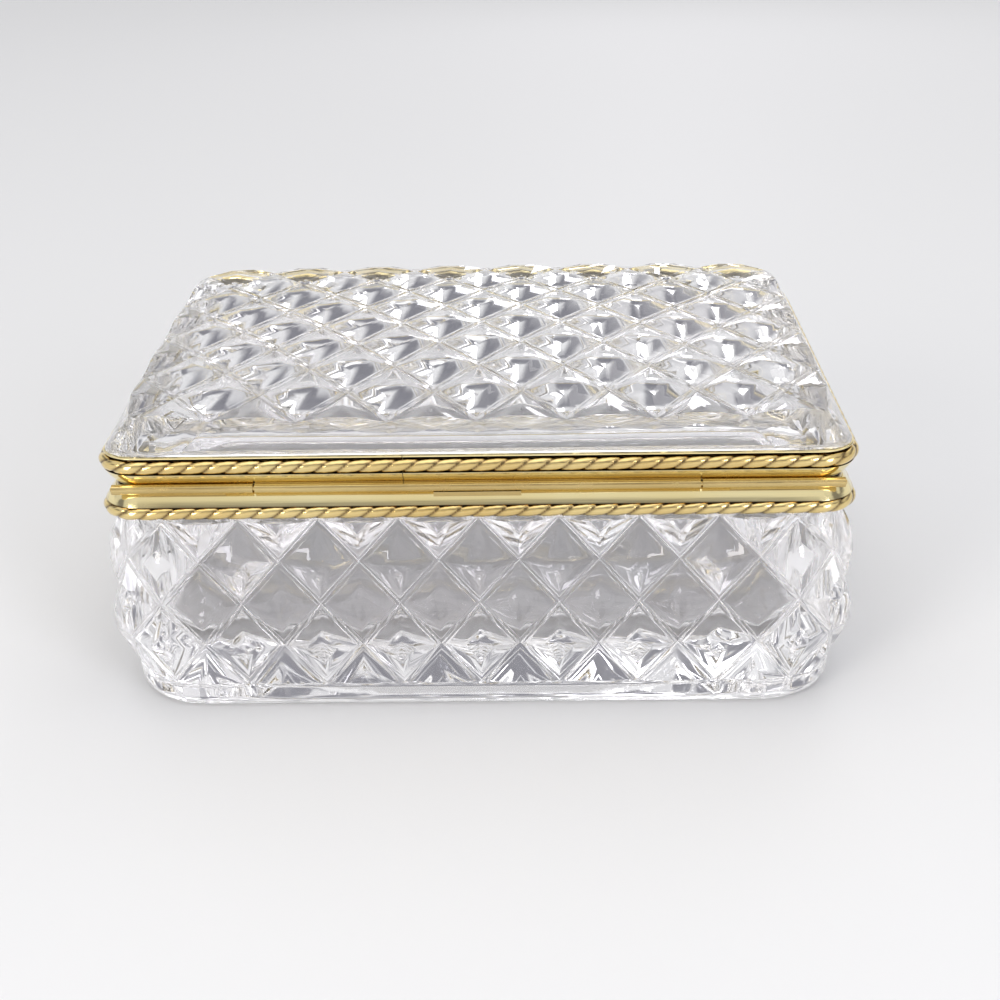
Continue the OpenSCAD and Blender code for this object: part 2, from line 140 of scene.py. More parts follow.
def group_of(name, inputs, outputs):
    """Starts a node group with named inputs (name, kind, value) and outputs (name, kind)."""
    tree = bpy.data.node_groups.new(name, "ShaderNodeTree")
    for label, kind, value in inputs:
        socket = tree.interface.new_socket(label, in_out="INPUT", socket_type=kind)
        socket.default_value = value
    for label, kind in outputs:
        tree.interface.new_socket(label, in_out="OUTPUT", socket_type=kind)
    return tree, tree.nodes.new("NodeGroupInput"), tree.nodes.new("NodeGroupOutput")


def use_group(tree, group, **values):
    """Places a group in a material with its own values."""
    return put(tree, "ShaderNodeGroup", {"node_tree": group}, **values)


# %% The node groups: cloudiness, scratches, and darkening in hollows that is partly dirt and partly painted shade
FLOAT = "NodeSocketFloat"
cloud_group, came, gave = group_of(
    "slow_cloudiness", [("Size", FLOAT, 60.0), ("Low", FLOAT, 0.0), ("High", FLOAT, 1.0)],
    [("Value", FLOAT)])
place = put(cloud_group, "ShaderNodeTexCoord")
cloud = put(cloud_group, "ShaderNodeTexNoise", Vector=place.outputs["Object"],
            Scale=came.outputs["Size"], Detail=3.0)
spread = put(cloud_group, "ShaderNodeMapRange", Value=cloud.outputs[0], From_Min=0.3,
             From_Max=0.7, To_Min=came.outputs["Low"], To_Max=came.outputs["High"])
cloud_group.links.new(spread.outputs[0], gave.inputs[0])

scratch_group, came, gave = group_of(
    "fine_scratches", [("Amount", FLOAT, 1.0)], [("Height", FLOAT)])
place = put(scratch_group, "ShaderNodeTexCoord")
along = put(scratch_group, "ShaderNodeMapping", Vector=place.outputs["Object"],
            Scale=(60.0, 60.0, 2400.0))
lines = put(scratch_group, "ShaderNodeTexNoise", Vector=along.outputs[0], Scale=1.0, Detail=2.0)
scaled = put(scratch_group, "ShaderNodeMath", {"operation": "MULTIPLY"}, i0=lines.outputs[0],
             i1=came.outputs["Amount"])
scratch_group.links.new(scaled.outputs[0], gave.inputs[0])

# Darkening in hollows: partly dirt, partly painted shade in crevices and grooves.
hollow_group, came, gave = group_of(
    "dirt_and_painted_shade", [("Reach", FLOAT, 1.0)], [("Mask", FLOAT)])
depth = put(hollow_group, "ShaderNodeAttribute", {"attribute_name": "hollow"})
place = put(hollow_group, "ShaderNodeTexCoord")
patches = put(hollow_group, "ShaderNodeTexNoise", Vector=place.outputs["Object"], Scale=180.0,
              Detail=3.0)
broken = put(hollow_group, "ShaderNodeMath", {"operation": "MULTIPLY_ADD"},
             i0=patches.outputs[0], i1=0.5, i2=0.75)
patchy_darkening = put(hollow_group, "ShaderNodeMath", {"operation": "MULTIPLY", "use_clamp": True},
              i0=depth.outputs["Fac"], i1=broken.outputs[0])
reached = put(hollow_group, "ShaderNodeMath", {"operation": "MULTIPLY", "use_clamp": True},
              i0=patchy_darkening.outputs[0], i1=came.outputs["Reach"])
hollow_group.links.new(reached.outputs[0], gave.inputs[0])
print("node groups:", [g.name for g in (cloud_group, scratch_group, hollow_group)])

# %% [markdown]
# ## Crystal and brass
# Lead crystal bends light more than window glass, so its refraction number is higher. It is
# water-clear with a faint cool cast where it is thick. The brass is polished and lacquered: pale
# gold, almost a mirror, with a slow change of polish and fine lines along the rim where
# it was buffed. Its hollows go dark brown, partly as dirt and partly as painted shade, and the
# twist and the hinge are painted darker than the sheet, as painted shade.


# %% The crystal
def new_material(name):
    """Gives a new material, its node tree and its shader."""
    material = bpy.data.materials.new(name)
    material.use_nodes = True
    tree = material.node_tree
    return material, tree, tree.nodes["Principled BSDF"]


def link(tree, source, shader, socket):
    """Feeds a socket of the shader."""
    tree.links.new(source, shader.inputs[socket])


crystal, tree, shader = new_material("lead_crystal")
shader.inputs["Transmission Weight"].default_value = 1.0
shader.inputs["IOR"].default_value = 1.57
shader.inputs["Metallic"].default_value = 0.0
polish = use_group(tree, cloud_group, Size=45.0, Low=0.0, High=0.03)
link(tree, polish.outputs[0], shader, "Roughness")
cast = use_group(tree, cloud_group, Size=20.0, Low=0.0, High=1.0)
tint = put(tree, "ShaderNodeMix", {"data_type": "RGBA"}, Factor=cast.outputs[0])
tint.inputs[6].default_value = (0.985, 0.99, 1.0, 1.0)
tint.inputs[7].default_value = (1.0, 0.985, 0.995, 1.0)
link(tree, tint.outputs[2], shader, "Base Color")
print("material:", crystal.name)


# %% Brass in three states: rolled sheet, twisted border, hinge; the last two painted darker as shade
def brass_material(name, light, dark, rough, darkening_reach, lines):
    """Polished brass. Its colour goes from light to dark by cloudiness, then to a dark brown in
    recesses, partly grime and partly painted shade.
    """
    material, tree, shader = new_material(name)
    shader.inputs["Metallic"].default_value = 1.0
    shader.inputs["Coat Weight"].default_value = 0.25
    shader.inputs["Coat Roughness"].default_value = 0.05
    slow = use_group(tree, cloud_group, Size=38.0, Low=0.0, High=1.0)
    metal = put(tree, "ShaderNodeMix", {"data_type": "RGBA"}, Factor=slow.outputs[0])
    metal.inputs[6].default_value = light
    metal.inputs[7].default_value = dark
    mask = use_group(tree, hollow_group, Reach=darkening_reach)
    dirt_and_shade_mix = put(tree, "ShaderNodeMix", {"data_type": "RGBA"}, Factor=mask.outputs[0])
    tree.links.new(metal.outputs[2], dirt_and_shade_mix.inputs[6])
    # Dark brown for the recesses: partly dirt, partly painted shade in the crevices.
    dirt_and_shade_mix.inputs[7].default_value = (0.10, 0.045, 0.012, 1.0)
    link(tree, dirt_and_shade_mix.outputs[2], shader, "Base Color")
    worn = use_group(tree, cloud_group, Size=150.0, Low=rough * 0.7, High=rough * 1.5)
    link(tree, worn.outputs[0], shader, "Roughness")
    brushed = use_group(tree, scratch_group, Amount=lines)
    bump = put(tree, "ShaderNodeBump", Strength=0.12, Distance=0.0001,
               Height=brushed.outputs[0])
    link(tree, bump.outputs[0], shader, "Normal")
    return material


sheet_brass = brass_material("rolled_brass", (0.90, 0.79, 0.45, 1), (0.85, 0.70, 0.34, 1),
                             0.10, 0.9, 1.0)
# The twist is painted darker than the sheet: painted shade for the border under the bevel's edge.
twist_brass = brass_material("twisted_brass", (0.85, 0.69, 0.33, 1), (0.70, 0.50, 0.19, 1),
                             0.14, 1.0, 0.5)
# The hinge brass is duller and is painted darker still: painted shade for the hinge's crevices and
# the dark it reflects.
shaded_hinge_brass = brass_material("hinge_brass_painted_darker", (0.66, 0.51, 0.23, 1), (0.50, 0.36, 0.14, 1),
                             0.2, 0.9, 1.4)
print("materials:", sheet_brass.name, twist_brass.name, shaded_hinge_brass.name)

# %% The cement under the mounts
cement, tree, shader = new_material("ivory_cement")
grain = use_group(tree, cloud_group, Size=700.0, Low=0.0, High=1.0)
chalk = put(tree, "ShaderNodeMix", {"data_type": "RGBA"}, Factor=grain.outputs[0])
chalk.inputs[6].default_value = (0.62, 0.57, 0.47, 1)
chalk.inputs[7].default_value = (0.76, 0.72, 0.62, 1)
link(tree, chalk.outputs[2], shader, "Base Color")
shader.inputs["Roughness"].default_value = 0.85
pits = put(tree, "ShaderNodeBump", Strength=0.3, Distance=0.0002, Height=grain.outputs[0])
link(tree, pits.outputs[0], shader, "Normal")
print("material:", cement.name)

# %% [markdown]
# ## Walking round the box
# Bowl and rim share one kind of outline: a rectangle with rounded corners. The diamonds are
# counted round it, nine on a long side and seven on a short one, measured from the middle of a
# corner to the middle of the next. Diamonds on the flat of a long side keep one pitch and the
# last ones take up what is left at the corners.

# %% The bowl's outline, counted in diamonds
LONG_COUNT = 9
SHORT_COUNT = 7
ROUND = 2 * (LONG_COUNT + SHORT_COUNT)
DIAMOND_PITCH = 16.1


def walk(turn, half_long, half_deep, corner):
    """Points and outward directions of a rounded rectangle at `turn` diamonds round it.

    On a side of half length h, with u diamonds from its middle and n on the whole side, the
    distance is s = pitch u + (h - pitch n/2) |2u/n|^8 with u's sign; the outline is straight to
    h - corner and then an arc of the corner's radius. Far inside, the pitch shrinks with h.
    """
    turn = np.mod(np.asarray(turn, float), ROUND)
    ends = np.cumsum([LONG_COUNT / 2, SHORT_COUNT, LONG_COUNT, SHORT_COUNT])
    side = np.searchsorted(ends, turn, side="right")
    u = turn - side * ROUND / 4
    is_long = side % 2 == 0
    ahead = np.where(is_long, half_long, half_deep)
    across = np.where(is_long, half_deep, half_long)
    count = np.where(is_long, LONG_COUNT, SHORT_COUNT)
    reach = ahead - corner + np.pi * corner / 4
    kept_pitch = DIAMOND_PITCH * np.minimum(1, ahead / (HALF_LONG - 2))
    pitch = np.where(is_long, kept_pitch, 2 * reach / SHORT_COUNT)
    s = pitch * u + (reach - pitch * count / 2) * np.abs(2 * u / count) ** 8 * np.sign(u)
    flat = ahead - corner
    bend = np.maximum(np.abs(s) - flat, 0) / corner
    x = np.sign(s) * (np.minimum(np.abs(s), flat) + corner * np.sin(bend))
    y = across - corner + corner * np.cos(bend)
    nx = np.sign(s) * np.sin(bend)
    ny = np.cos(bend)
    quarter = side % 4
    turned = [np.choose(quarter, [a, b, -a, -b]) for a, b in ((x, y), (nx, ny))]
    crossed = [np.choose(quarter, [b, -a, -b, a]) for a, b in ((x, y), (nx, ny))]
    return turned[0], crossed[0], turned[1], crossed[1]


probe = walk([0, 4.5, 8, 16], HALF_LONG, HALF_DEEP, 20.0)
print("outline at 0, 4.5, 8 and 16 diamonds:", np.round(probe[0], 1), np.round(probe[1], 1))

# %% [markdown]
# ## The bowl's wall
# The wall swells to a belly half way up and draws in to the foot and to the neck. The
# diamond rows lie closer towards the top. Both are written as functions of height, so a point of
# the wall is found from its row and its place round the box.

# %% Height, swell and corner of the wall
TOP_Z = PARTING - SHOULDER
FOOT_Z = 6.4
BELLY_Z = 21.6
BELLY_OUT = 0.4
TOP_OUT = -1.8
FOOT_OUT = -1.8
BELLY_CORNER = 13.0
END_CORNER = 15.0
LAST_ROW = 4


def row_height(row):
    """z = top - (top - foot) (row / 4)^1.06."""
    return TOP_Z - (TOP_Z - FOOT_Z) * (row / LAST_ROW) ** 1.06


def swell(z):
    """Distance outside the rim: an elliptic fall from the belly to the top and to the foot."""
    above = z > BELLY_Z
    share = np.where(above, (z - BELLY_Z) / (TOP_Z - BELLY_Z), (BELLY_Z - z) / (BELLY_Z - FOOT_Z))
    round_ness = np.where(above, 0.92, 0.96)
    end = np.where(above, TOP_OUT, FOOT_OUT)
    fall = 1 - np.sqrt(np.maximum(1 - (round_ness * share) ** 2, 0))
    return BELLY_OUT - (BELLY_OUT - end) * fall / (1 - np.sqrt(1 - round_ness ** 2))


def wall_corner(z):
    """Corner radius of the plan at height z: tightest at the belly, growing as a parabola."""
    share = np.where(z > BELLY_Z, (z - BELLY_Z) / (TOP_Z - BELLY_Z),
                     (BELLY_Z - z) / (BELLY_Z - FOOT_Z))
    return END_CORNER + (BELLY_CORNER - END_CORNER) * (1 - share ** 2)


def wall_point(row, turn):
    """A point of the wall and its outward direction."""
    z = row_height(np.asarray(row, float))
    out = swell(z)
    x, y, nx, ny = walk(turn, HALF_LONG + out, HALF_DEEP + out, wall_corner(z))
    z = np.broadcast_to(z, x.shape)
    return np.stack([x, y, z], -1), np.stack([nx, ny, 0 * nx], -1)


print("rows at", np.round(row_height(np.arange(5.0)), 1), "swell",
      np.round(swell(row_height(np.arange(5.0))), 2))

# %% [markdown]
# ## One diamond
# A mould-pressed diamond is a low pyramid with a small blunt top, between two families of narrow
# V grooves. It is built once, as rings round its middle: the groove's bottom, the groove's
# wall, a tiny rounded lip, the facet, and the blunt top. The same rings are then laid
# between the crossings of every diamond at once. Where the pattern ends, half a diamond is left.

# %% Rings of a diamond: how far in, and how high
GROOVE = 0.13
BLUNT = 0.62
RING_SHARE = np.array([0.0, 0.03, GROOVE - 0.03, GROOVE, GROOVE + 0.03, BLUNT - 0.02,
                       BLUNT + 0.02])
RING_LIFT = np.array([-0.68, -0.56, -0.52, -0.29, -0.21, 0.90, 1.08])
TIP_LIFT = 1.12


def lay_diamonds(corners, corner_up, corner_scale, tips, up, scale):
    """Rings of points and their faces for many diamonds.

    corners is (diamonds, 3 or 4, 3), anticlockwise from outside; 3 corners make half a diamond
    whose cut side runs from the last corner over the tip to the first. A ring's point is
    corner + (tip - corner) share + way lift, where the way out and the scale of the lift go
    from the corner's to the tip's, so that neighbours agree about the corners they share.
    """
    number, count = corners.shape[:2]
    share = RING_SHARE[None, :, None, None]
    scales = corner_scale[:, None, :, None] * (1 - share) + scale[:, None, None, None] * share
    way = corner_up[:, None] * (1 - share) + up[:, None, None] * share
    way = way / np.linalg.norm(way, axis=-1, keepdims=True)
    rings = corners[:, None] + (tips[:, None, None] - corners[:, None]) * share
    rings = rings + way * RING_LIFT[None, :, None, None] * scales
    peaks = tips + up * TIP_LIFT * scale[:, None]
    per = RING_SHARE.size * count + 1
    points = np.concatenate([rings.reshape(number, -1, 3), peaks[:, None]], 1)
    r, c = np.meshgrid(np.arange(RING_SHARE.size - 1), np.arange(count if count == 4 else 2),
                       indexing="ij")
    after = (c + 1) % count
    quads = np.stack([r * count + c, r * count + after, (r + 1) * count + after,
                      (r + 1) * count + c], -1).reshape(-1, 4)
    c = np.arange(count if count == 4 else 2)
    inner = (RING_SHARE.size - 1) * count
    tops = np.stack([inner + c, inner + (c + 1) % count, np.full(c.size, per - 1)], -1)
    base = (np.arange(number) * per)[:, None, None]
    quads = (quads[None] + base).reshape(-1, 4)
    tops = (tops[None] + base).reshape(-1, 3)
    cut_line = None
    if count == 3:
        cut_line = np.concatenate([rings[:, :, 2], peaks[:, None], rings[:, :0:-1, 0]], 1)
    return points.reshape(-1, 3), quads, tops, cut_line


CUT_STEPS = np.concatenate([RING_SHARE / 2, [0.5], 1 - RING_SHARE[:0:-1] / 2])
print("one diamond has", 8 * RING_SHARE.size - 4, "triangles")


# %% [markdown]
# ## Joining patches
# A piece is gathered from patches: the diamonds, and bands between rings of points that have the
# same count. The bands take the cut edge of the pattern on to the foot, the neck and the inside.
# Points that fall together are merged at the end, which closes the skin.

# %% A gatherer of patches
class Patches:
    """Collects points and faces, each with its shading."""

    def __init__(self):
        self.points = []
        self.faces = []
        self.smooth = []
        self.count = 0

    def add(self, points, faces, smooth):
        self.points.append(points)
        for block in faces:
            self.faces.append(block + self.count)
            self.smooth.append(smooth)
        self.count += len(points)

    def band(self, rings, smooth, flip=False):
        """Quads between neighbouring closed rings, an array (rings, points, 3)."""
        rings = np.asarray(rings)
        deep, wide = rings.shape[:2]
        r, c = np.meshgrid(np.arange(deep - 1), np.arange(wide), indexing="ij")
        after = (c + 1) % wide
        quads = np.stack([r * wide + c, r * wide + after, (r + 1) * wide + after,
                          (r + 1) * wide + c], -1).reshape(-1, 4)
        self.add(rings.reshape(-1, 3), [quads[:, ::-1] if flip else quads], smooth)

    def cap(self, ring, middle, flip=False):
        """Triangles from a closed ring to one point."""
        wide = len(ring)
        c = np.arange(wide)
        fan = np.stack([c, (c + 1) % wide, np.full(wide, wide)], -1)
        self.add(np.concatenate([ring, [middle]]), [fan[:, ::-1] if flip else fan], True)

    def finish(self, name, material, crease=None):
        """Merges points that round to the same thousandth of a millimetre, and makes the piece."""
        points = np.concatenate(self.points)
        keys = np.round(points * 1000.0).astype(np.int64)
        unused, first, where = np.unique(keys, axis=0, return_index=True, return_inverse=True)
        where = where.reshape(-1)
        kept, flags = [], []
        for block, smooth in zip(self.faces, self.smooth):
            block = where[block]
            same = block == np.roll(block, -1, axis=1)
            kept.append(block[same.sum(1) == 0])
            flags.append(smooth)
            if block.shape[1] == 4:
                once = same.sum(1) == 1
                kept.append(block[once][~same[once]].reshape(-1, 3))
                flags.append(smooth)
        piece = make_piece(name, points[first], kept, material, flags, crease)
        report(piece)
        return piece


# %% [markdown]
# ## The crystal bowl
# The bowl is one closed skin: diamonds outside, a clear slab foot with rounded edges, a plain
# neck that stands in the mount, and a smooth inside with a rounded bottom, where the plunger
# pressed. Light passes the carved face, the glass and the smooth face, so all three must be
# there for the render to look like crystal.

# %% The bowl
FLOOR_Z = 8.0
CAVITY_CORNER = 8.0


# Share of the relief that is left along the foot, where the diamonds run out
FOOT_RELIEF = 0.45


def bowl_diamonds(row):
    """One row of diamonds, halves at rows 0 and 4, as lay_diamonds wants them."""
    middle = np.arange(ROUND) + (0.5 if row % 2 == 0 else 0.0)
    around = {"right": (row, middle - 0.5), "over": (row - 1, middle),
              "left": (row, middle + 0.5), "under": (row + 1, middle)}
    order = ["right", "over", "left", "under"]
    if row == 0:
        order = ["left", "under", "right"]
    if row == LAST_ROW:
        order = ["right", "over", "left"]
    found = [wall_point(*around[name]) for name in order]
    scale = np.array([FOOT_RELIEF if around[name][0] == LAST_ROW else 1.0 for name in order])
    tips, up = wall_point(row, middle)
    return (np.stack([f[0] for f in found], 1), np.stack([f[1] for f in found], 1),
            np.broadcast_to(scale, (ROUND, len(order))), tips, up,
            np.full(ROUND, FOOT_RELIEF if row == LAST_ROW else 1.0))


def plan_ring(turns, inset, corner, z):
    """A closed ring of the rounded rectangle at a distance inside the rim."""
    x, y, nx, ny = walk(turns, HALF_LONG - inset, HALF_DEEP - inset, corner)
    return np.stack([x, y, np.full(x.shape, z)], -1)


bowl = Patches()
for row in range(LAST_ROW + 1):
    points, quads, tops, line = lay_diamonds(*bowl_diamonds(row))
    bowl.add(points, [quads, tops], False)
    if row == 0:
        top_line = line
    if row == LAST_ROW:
        foot_line = line
# The foot's line runs the other way round, so it is turned and started at diamond 0
foot_line = np.roll(foot_line[::-1].reshape(-1, 3)[::-1], 1, axis=0)
top_line = top_line.reshape(-1, 3)
turns = (np.arange(ROUND)[:, None] + CUT_STEPS[None]).reshape(-1)


def ring_stack(rows):
    """Rings from rows of (height, distance inside the rim, corner radius)."""
    return np.stack([plan_ring(turns, inset, corner, z) for z, inset, corner in rows])


foot_rows = [(6.05, 2.0, 16.4), (5.6, 1.9, 16.2), (5.0, 1.95, 16.0), (3.2, 2.0, 16.0),
             (2.2, 2.25, 15.8), (1.3, 2.7, 15.4), (0.6, 3.35, 14.8), (0.15, 4.2, 14.0),
             (0.0, 5.2, 13.0)]
base_rows = [(0.0, 5.2, 13.0), (0.0, 8.0, 11.5), (0.06, 14.0, 9.0), (0.2, 26.0, 7.0),
             (0.32, 40.0, 5.0)]
NECK_TOP_Z = PARTING - NECK_END
neck_rows = [(TOP_Z + 0.45, 3.0, 9.0), (TOP_Z + 0.6, NECK_IN, 4.8),
             (NECK_TOP_Z - 0.4, NECK_IN, 4.8), (NECK_TOP_Z, 4.2, 4.4), (NECK_TOP_Z, 7.0, 1.6),
             (NECK_TOP_Z - 0.4, NECK_BACK_IN, 1.2), (TOP_Z + 1.0, NECK_BACK_IN, 1.6)]
inside_rows = [(TOP_Z + 1.0, NECK_BACK_IN, 1.6), (41.0, 7.5, 5.0), (37.0, 7.6, CAVITY_CORNER),
               (27.0, 7.8, 8.6), (22.5, 8.2, 9.0), (19.0, 9.2, 9.6), (16.2, 10.9, 10.6),
               (13.8, 13.3, 11.8), (11.8, 16.4, 13.0), (10.2, 20.2, 14.0), (9.0, 24.6, 14.0),
               (8.3, 29.4, 12.0), (FLOOR_Z, 35.0, 9.0)]
bowl.band(np.concatenate([foot_line[None], ring_stack(foot_rows)]), True)
bowl.band(ring_stack(base_rows), True)
bowl.cap(ring_stack(base_rows)[-1], (0.0, 0.0, 0.38))
bowl.band(np.concatenate([top_line[None], ring_stack(neck_rows)]), True, flip=True)
bowl.band(ring_stack(inside_rows), True, flip=True)
bowl.cap(ring_stack(inside_rows)[-1], (0.0, 0.0, FLOOR_Z), flip=True)
crystal_bowl = bowl.finish("crystal_bowl", crystal, crease=40)
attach(crystal_bowl, "bowl")
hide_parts("glass_bowl")

# %% [markdown]
# ## The crystal lid
# The lid is a thick cushion with the same diamonds, eight long and four deep. Its low
# sides are plain: on each side a long polished panel was ground in, and its upper edge runs down
# to the brass at both ends, beside the fluted corner blocks. Underneath, a shallow hollow leaves
# room for what the box keeps.

# %% The lid
LID_LONG = 8
LID_DEEP = 4
SHOULDER_Z = PARTING + 13.4
DOME = 3.2
SHOULDER_IN_LONG = 5.0
SHOULDER_IN_DEEP = 4.0
SHOULDER_BOW = 1.6
SHOULDER_CORNER = 6.0
LID_EDGE_Z = PARTING + SHOULDER
LID_EDGE_IN = 1.4
LID_EDGE_CORNER = RIM_CORNER - LID_EDGE_IN


def dome_point(i, j):
    """A point of the lid at half steps i, j from the -X, -Y corner.

    x = X fu - d, y = (Y - 1.6 fu^2) fv - d, z = shoulder + 3.2 (1 - fu^2)(1 - fv^2), where fu
    and fv go from -1 to 1 and d draws the corners in as |fu|^8 |fv|^8.
    """
    fu = np.asarray(i, float) / LID_LONG - 1
    fv = np.asarray(j, float) / LID_DEEP - 1
    draw = SHOULDER_CORNER * (1 - np.cos(np.pi / 4)) * np.abs(fu) ** 8 * np.abs(fv) ** 8
    x = (HALF_LONG - SHOULDER_IN_LONG) * fu - draw * np.sign(fu)
    y = (HALF_DEEP - SHOULDER_IN_DEEP - SHOULDER_BOW * fu ** 2) * fv - draw * np.sign(fv)
    return np.stack([x, y, SHOULDER_Z + DOME * (1 - fu ** 2) * (1 - fv ** 2)], -1)


EDGE_RELIEF = 0.6


def relief_at(i, j):
    """Scale of the relief on the lid: low along the edge of the field, full inside it."""
    inside = (i > 0) & (i < 2 * LID_LONG) & (j > 0) & (j < 2 * LID_DEEP)
    return np.where(inside, 1.0, EDGE_RELIEF)


def lid_diamonds(lid, i, j, steps):
    """Lays the diamonds whose tips are at i, j; steps are the ways to their corners."""
    corners = np.stack([dome_point(i + di, j + dj) for di, dj in steps], 1)
    scale = np.stack([relief_at(i + di, j + dj) for di, dj in steps], 1)
    tips = dome_point(i, j)
    points, quads, tops, line = lay_diamonds(
        corners, np.broadcast_to([0.0, 0.0, 1.0], corners.shape), scale, tips,
        np.broadcast_to([0.0, 0.0, 1.0], tips.shape), relief_at(i, j))
    lid.add(points, [quads, tops], False)
    return line


lid = Patches()
EAST, NORTH, WEST, SOUTH = (1, 0), (0, 1), (-1, 0), (0, -1)
i, j = np.meshgrid(np.arange(1, 2 * LID_LONG), np.arange(1, 2 * LID_DEEP), indexing="ij")
odd = (i + j) % 2 == 1
lid_diamonds(lid, i[odd], j[odd], [EAST, NORTH, WEST, SOUTH])
odd_long = np.arange(1, 2 * LID_LONG, 2)
odd_deep = np.arange(1, 2 * LID_DEEP, 2)
edge_lines = [
    lid_diamonds(lid, odd_long, 0 * odd_long, [EAST, NORTH, WEST]),
    lid_diamonds(lid, 0 * odd_deep + 2 * LID_LONG, odd_deep, [NORTH, WEST, SOUTH]),
    lid_diamonds(lid, odd_long[::-1], 0 * odd_long + 2 * LID_DEEP, [WEST, SOUTH, EAST]),
    lid_diamonds(lid, 0 * odd_deep, odd_deep[::-1], [SOUTH, EAST, NORTH])]
rim_line = np.concatenate([line.reshape(-1, 3) for line in edge_lines])


def onto_outline(points, inset, corner):
    """Moves points to the nearest place of a rounded rectangle inside the rim.

    The point is clamped to the rectangle's straight core q; the outline is q + corner n, where
    n points from q to the point. Gives the places and n.
    """
    core = np.array([HALF_LONG - inset - corner, HALF_DEEP - inset - corner])
    nearest = np.clip(points[:, :2], -core, core)
    way = points[:, :2] - nearest
    way = way / np.maximum(np.linalg.norm(way, axis=1, keepdims=True), 1e-9)
    return nearest + corner * way, way


def lid_ring(inset, corner, z):
    """The edge of the field moved to a rounded rectangle inside the rim, at one height."""
    flat, unused = onto_outline(rim_line, inset, corner)
    return np.column_stack([flat, np.full(len(flat), z)])


# %% [markdown]
# ## The lid's sides
# A side slopes from the field of diamonds out to the brass. A long lens is ground into it: its
# upper edge is flat in the middle and turns down at both ends, and what stays beside it is the
# corner block, which has shallow flutes. So a side is a stack of rings between the edge of the
# field and the edge at the brass, and the lens is a hollow in it that fades at its ends.

# %% Rings of the lid's sides
PANEL_HALF_LONG = 58.0
PANEL_HALF_DEEP = 41.0
LENS_DEPTH = 0.5
FLUTE_DEPTH = 0.5
FLUTE_PITCH = 3.4
edge_place, edge_way = onto_outline(rim_line, LID_EDGE_IN, LID_EDGE_CORNER)
on_end = np.abs(rim_line[:, 0]) - HALF_LONG > np.abs(rim_line[:, 1]) - HALF_DEEP - 1.0
run = np.abs(np.where(on_end, rim_line[:, 1], rim_line[:, 0]))
lens_reach = run / np.where(on_end, PANEL_HALF_DEEP, PANEL_HALF_LONG)
in_lens = np.clip((1.0 - lens_reach) * 12, 0, 1)
lens_top = 0.12 + 0.79 * np.sqrt(np.maximum(1 - lens_reach ** 8, 0.0))
flute = FLUTE_DEPTH * (1 - in_lens) * np.abs((run / FLUTE_PITCH) % 2 - 1)


def side_ring(share, out):
    """A ring at a share of the way up from the brass to the field, moved outwards by out."""
    share = np.broadcast_to(np.asarray(share, float), run.shape)
    flat = edge_place + (rim_line[:, :2] - edge_place) * share[:, None]
    flat = flat + edge_way * np.broadcast_to(out, run.shape)[:, None]
    return np.column_stack([flat, LID_EDGE_Z + (SHOULDER_Z - LID_EDGE_Z) * share])


side_rings = [
    rim_line,
    side_ring(np.minimum(lens_top + 0.06, 0.975), 0.1 - flute * 0.3),
    side_ring(lens_top + 0.025, 0.1 - flute),
    side_ring(lens_top - 0.02, -LENS_DEPTH * in_lens - flute),
    side_ring(0.08, -LENS_DEPTH * in_lens * 0.6 - flute),
    side_ring(0.05, 0.0),
    side_ring(0.0, 0.0)]
under_rings = [lid_ring(LID_EDGE_IN, LID_EDGE_CORNER, LID_EDGE_Z),
               lid_ring(1.6, 7.0, LID_EDGE_Z - 0.15),
               lid_ring(NECK_IN, 4.8, LID_EDGE_Z - 0.15),
               lid_ring(NECK_IN, 4.8, PARTING + NECK_END + 0.4),
               lid_ring(4.2, 4.4, PARTING + NECK_END), lid_ring(7.0, 1.6, PARTING + NECK_END),
               lid_ring(NECK_BACK_IN, 1.2, PARTING + NECK_END + 0.4),
               lid_ring(7.5, 3.0, PARTING + 4.6), lid_ring(7.9, 6.0, PARTING + 6.6),
               lid_ring(9.0, 7.0, PARTING + 7.7), lid_ring(11.0, 8.0, PARTING + 8.3),
               lid_ring(14.0, 9.0, PARTING + 8.5)]
lid.band(np.stack(side_rings), False, flip=True)
lid.band(np.stack(under_rings), True, flip=True)
lid.cap(under_rings[-1], (0.0, 0.0, PARTING + 9.6), flip=True)
crystal_lid = lid.finish("crystal_lid", crystal, crease=40)
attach(crystal_lid, "lid")
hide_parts("glass_lid")

# %% [markdown]
# ## The brass mounts
# Each mount is one strip of brass, rolled to a section and bent round the glass, its ends
# brought together in a butt seam. So it is made that way: a section carried along the rim. The
# bevel is slightly crowned and has a fine bead line near the parting, as the rollers leave it.

# %% A section carried round the rim
ARC_STEPS = 14


def along_rim(s, inset):
    """Points and outward directions at a length s round the rim, from the middle of +Y.

    The outline is four straights and four quarter arcs; s is read off in turn on each.
    """
    hx, hy, r = HALF_LONG - inset, HALF_DEEP - inset, RIM_CORNER - inset
    a, b, arc = 2 * (hx - r), 2 * (hy - r), np.pi * r / 2
    legs = np.array([a / 2, arc, b, arc, a, arc, b, arc, a / 2])
    starts = np.concatenate([[0], np.cumsum(legs)])
    total = starts[-1]
    s = np.mod(s, total)
    leg = np.clip(np.searchsorted(starts, s, side="right") - 1, 0, 8)
    t = s - starts[leg]
    turned = np.where(leg % 2 == 1, t / r, 0.0) + (leg // 2) * np.pi / 2
    nx, ny = np.sin(turned), np.cos(turned)
    cx = np.choose(leg, [t, hx - r, hx - r, hx - r, hx - r - t, r - hx, r - hx, r - hx,
                         r - hx + t])
    cy = np.choose(leg, [hy - r, hy - r, hy - r - t, r - hy, r - hy, r - hy, r - hy + t, hy - r,
                         hy - r])
    return cx + r * nx, cy + r * ny, nx, ny, total


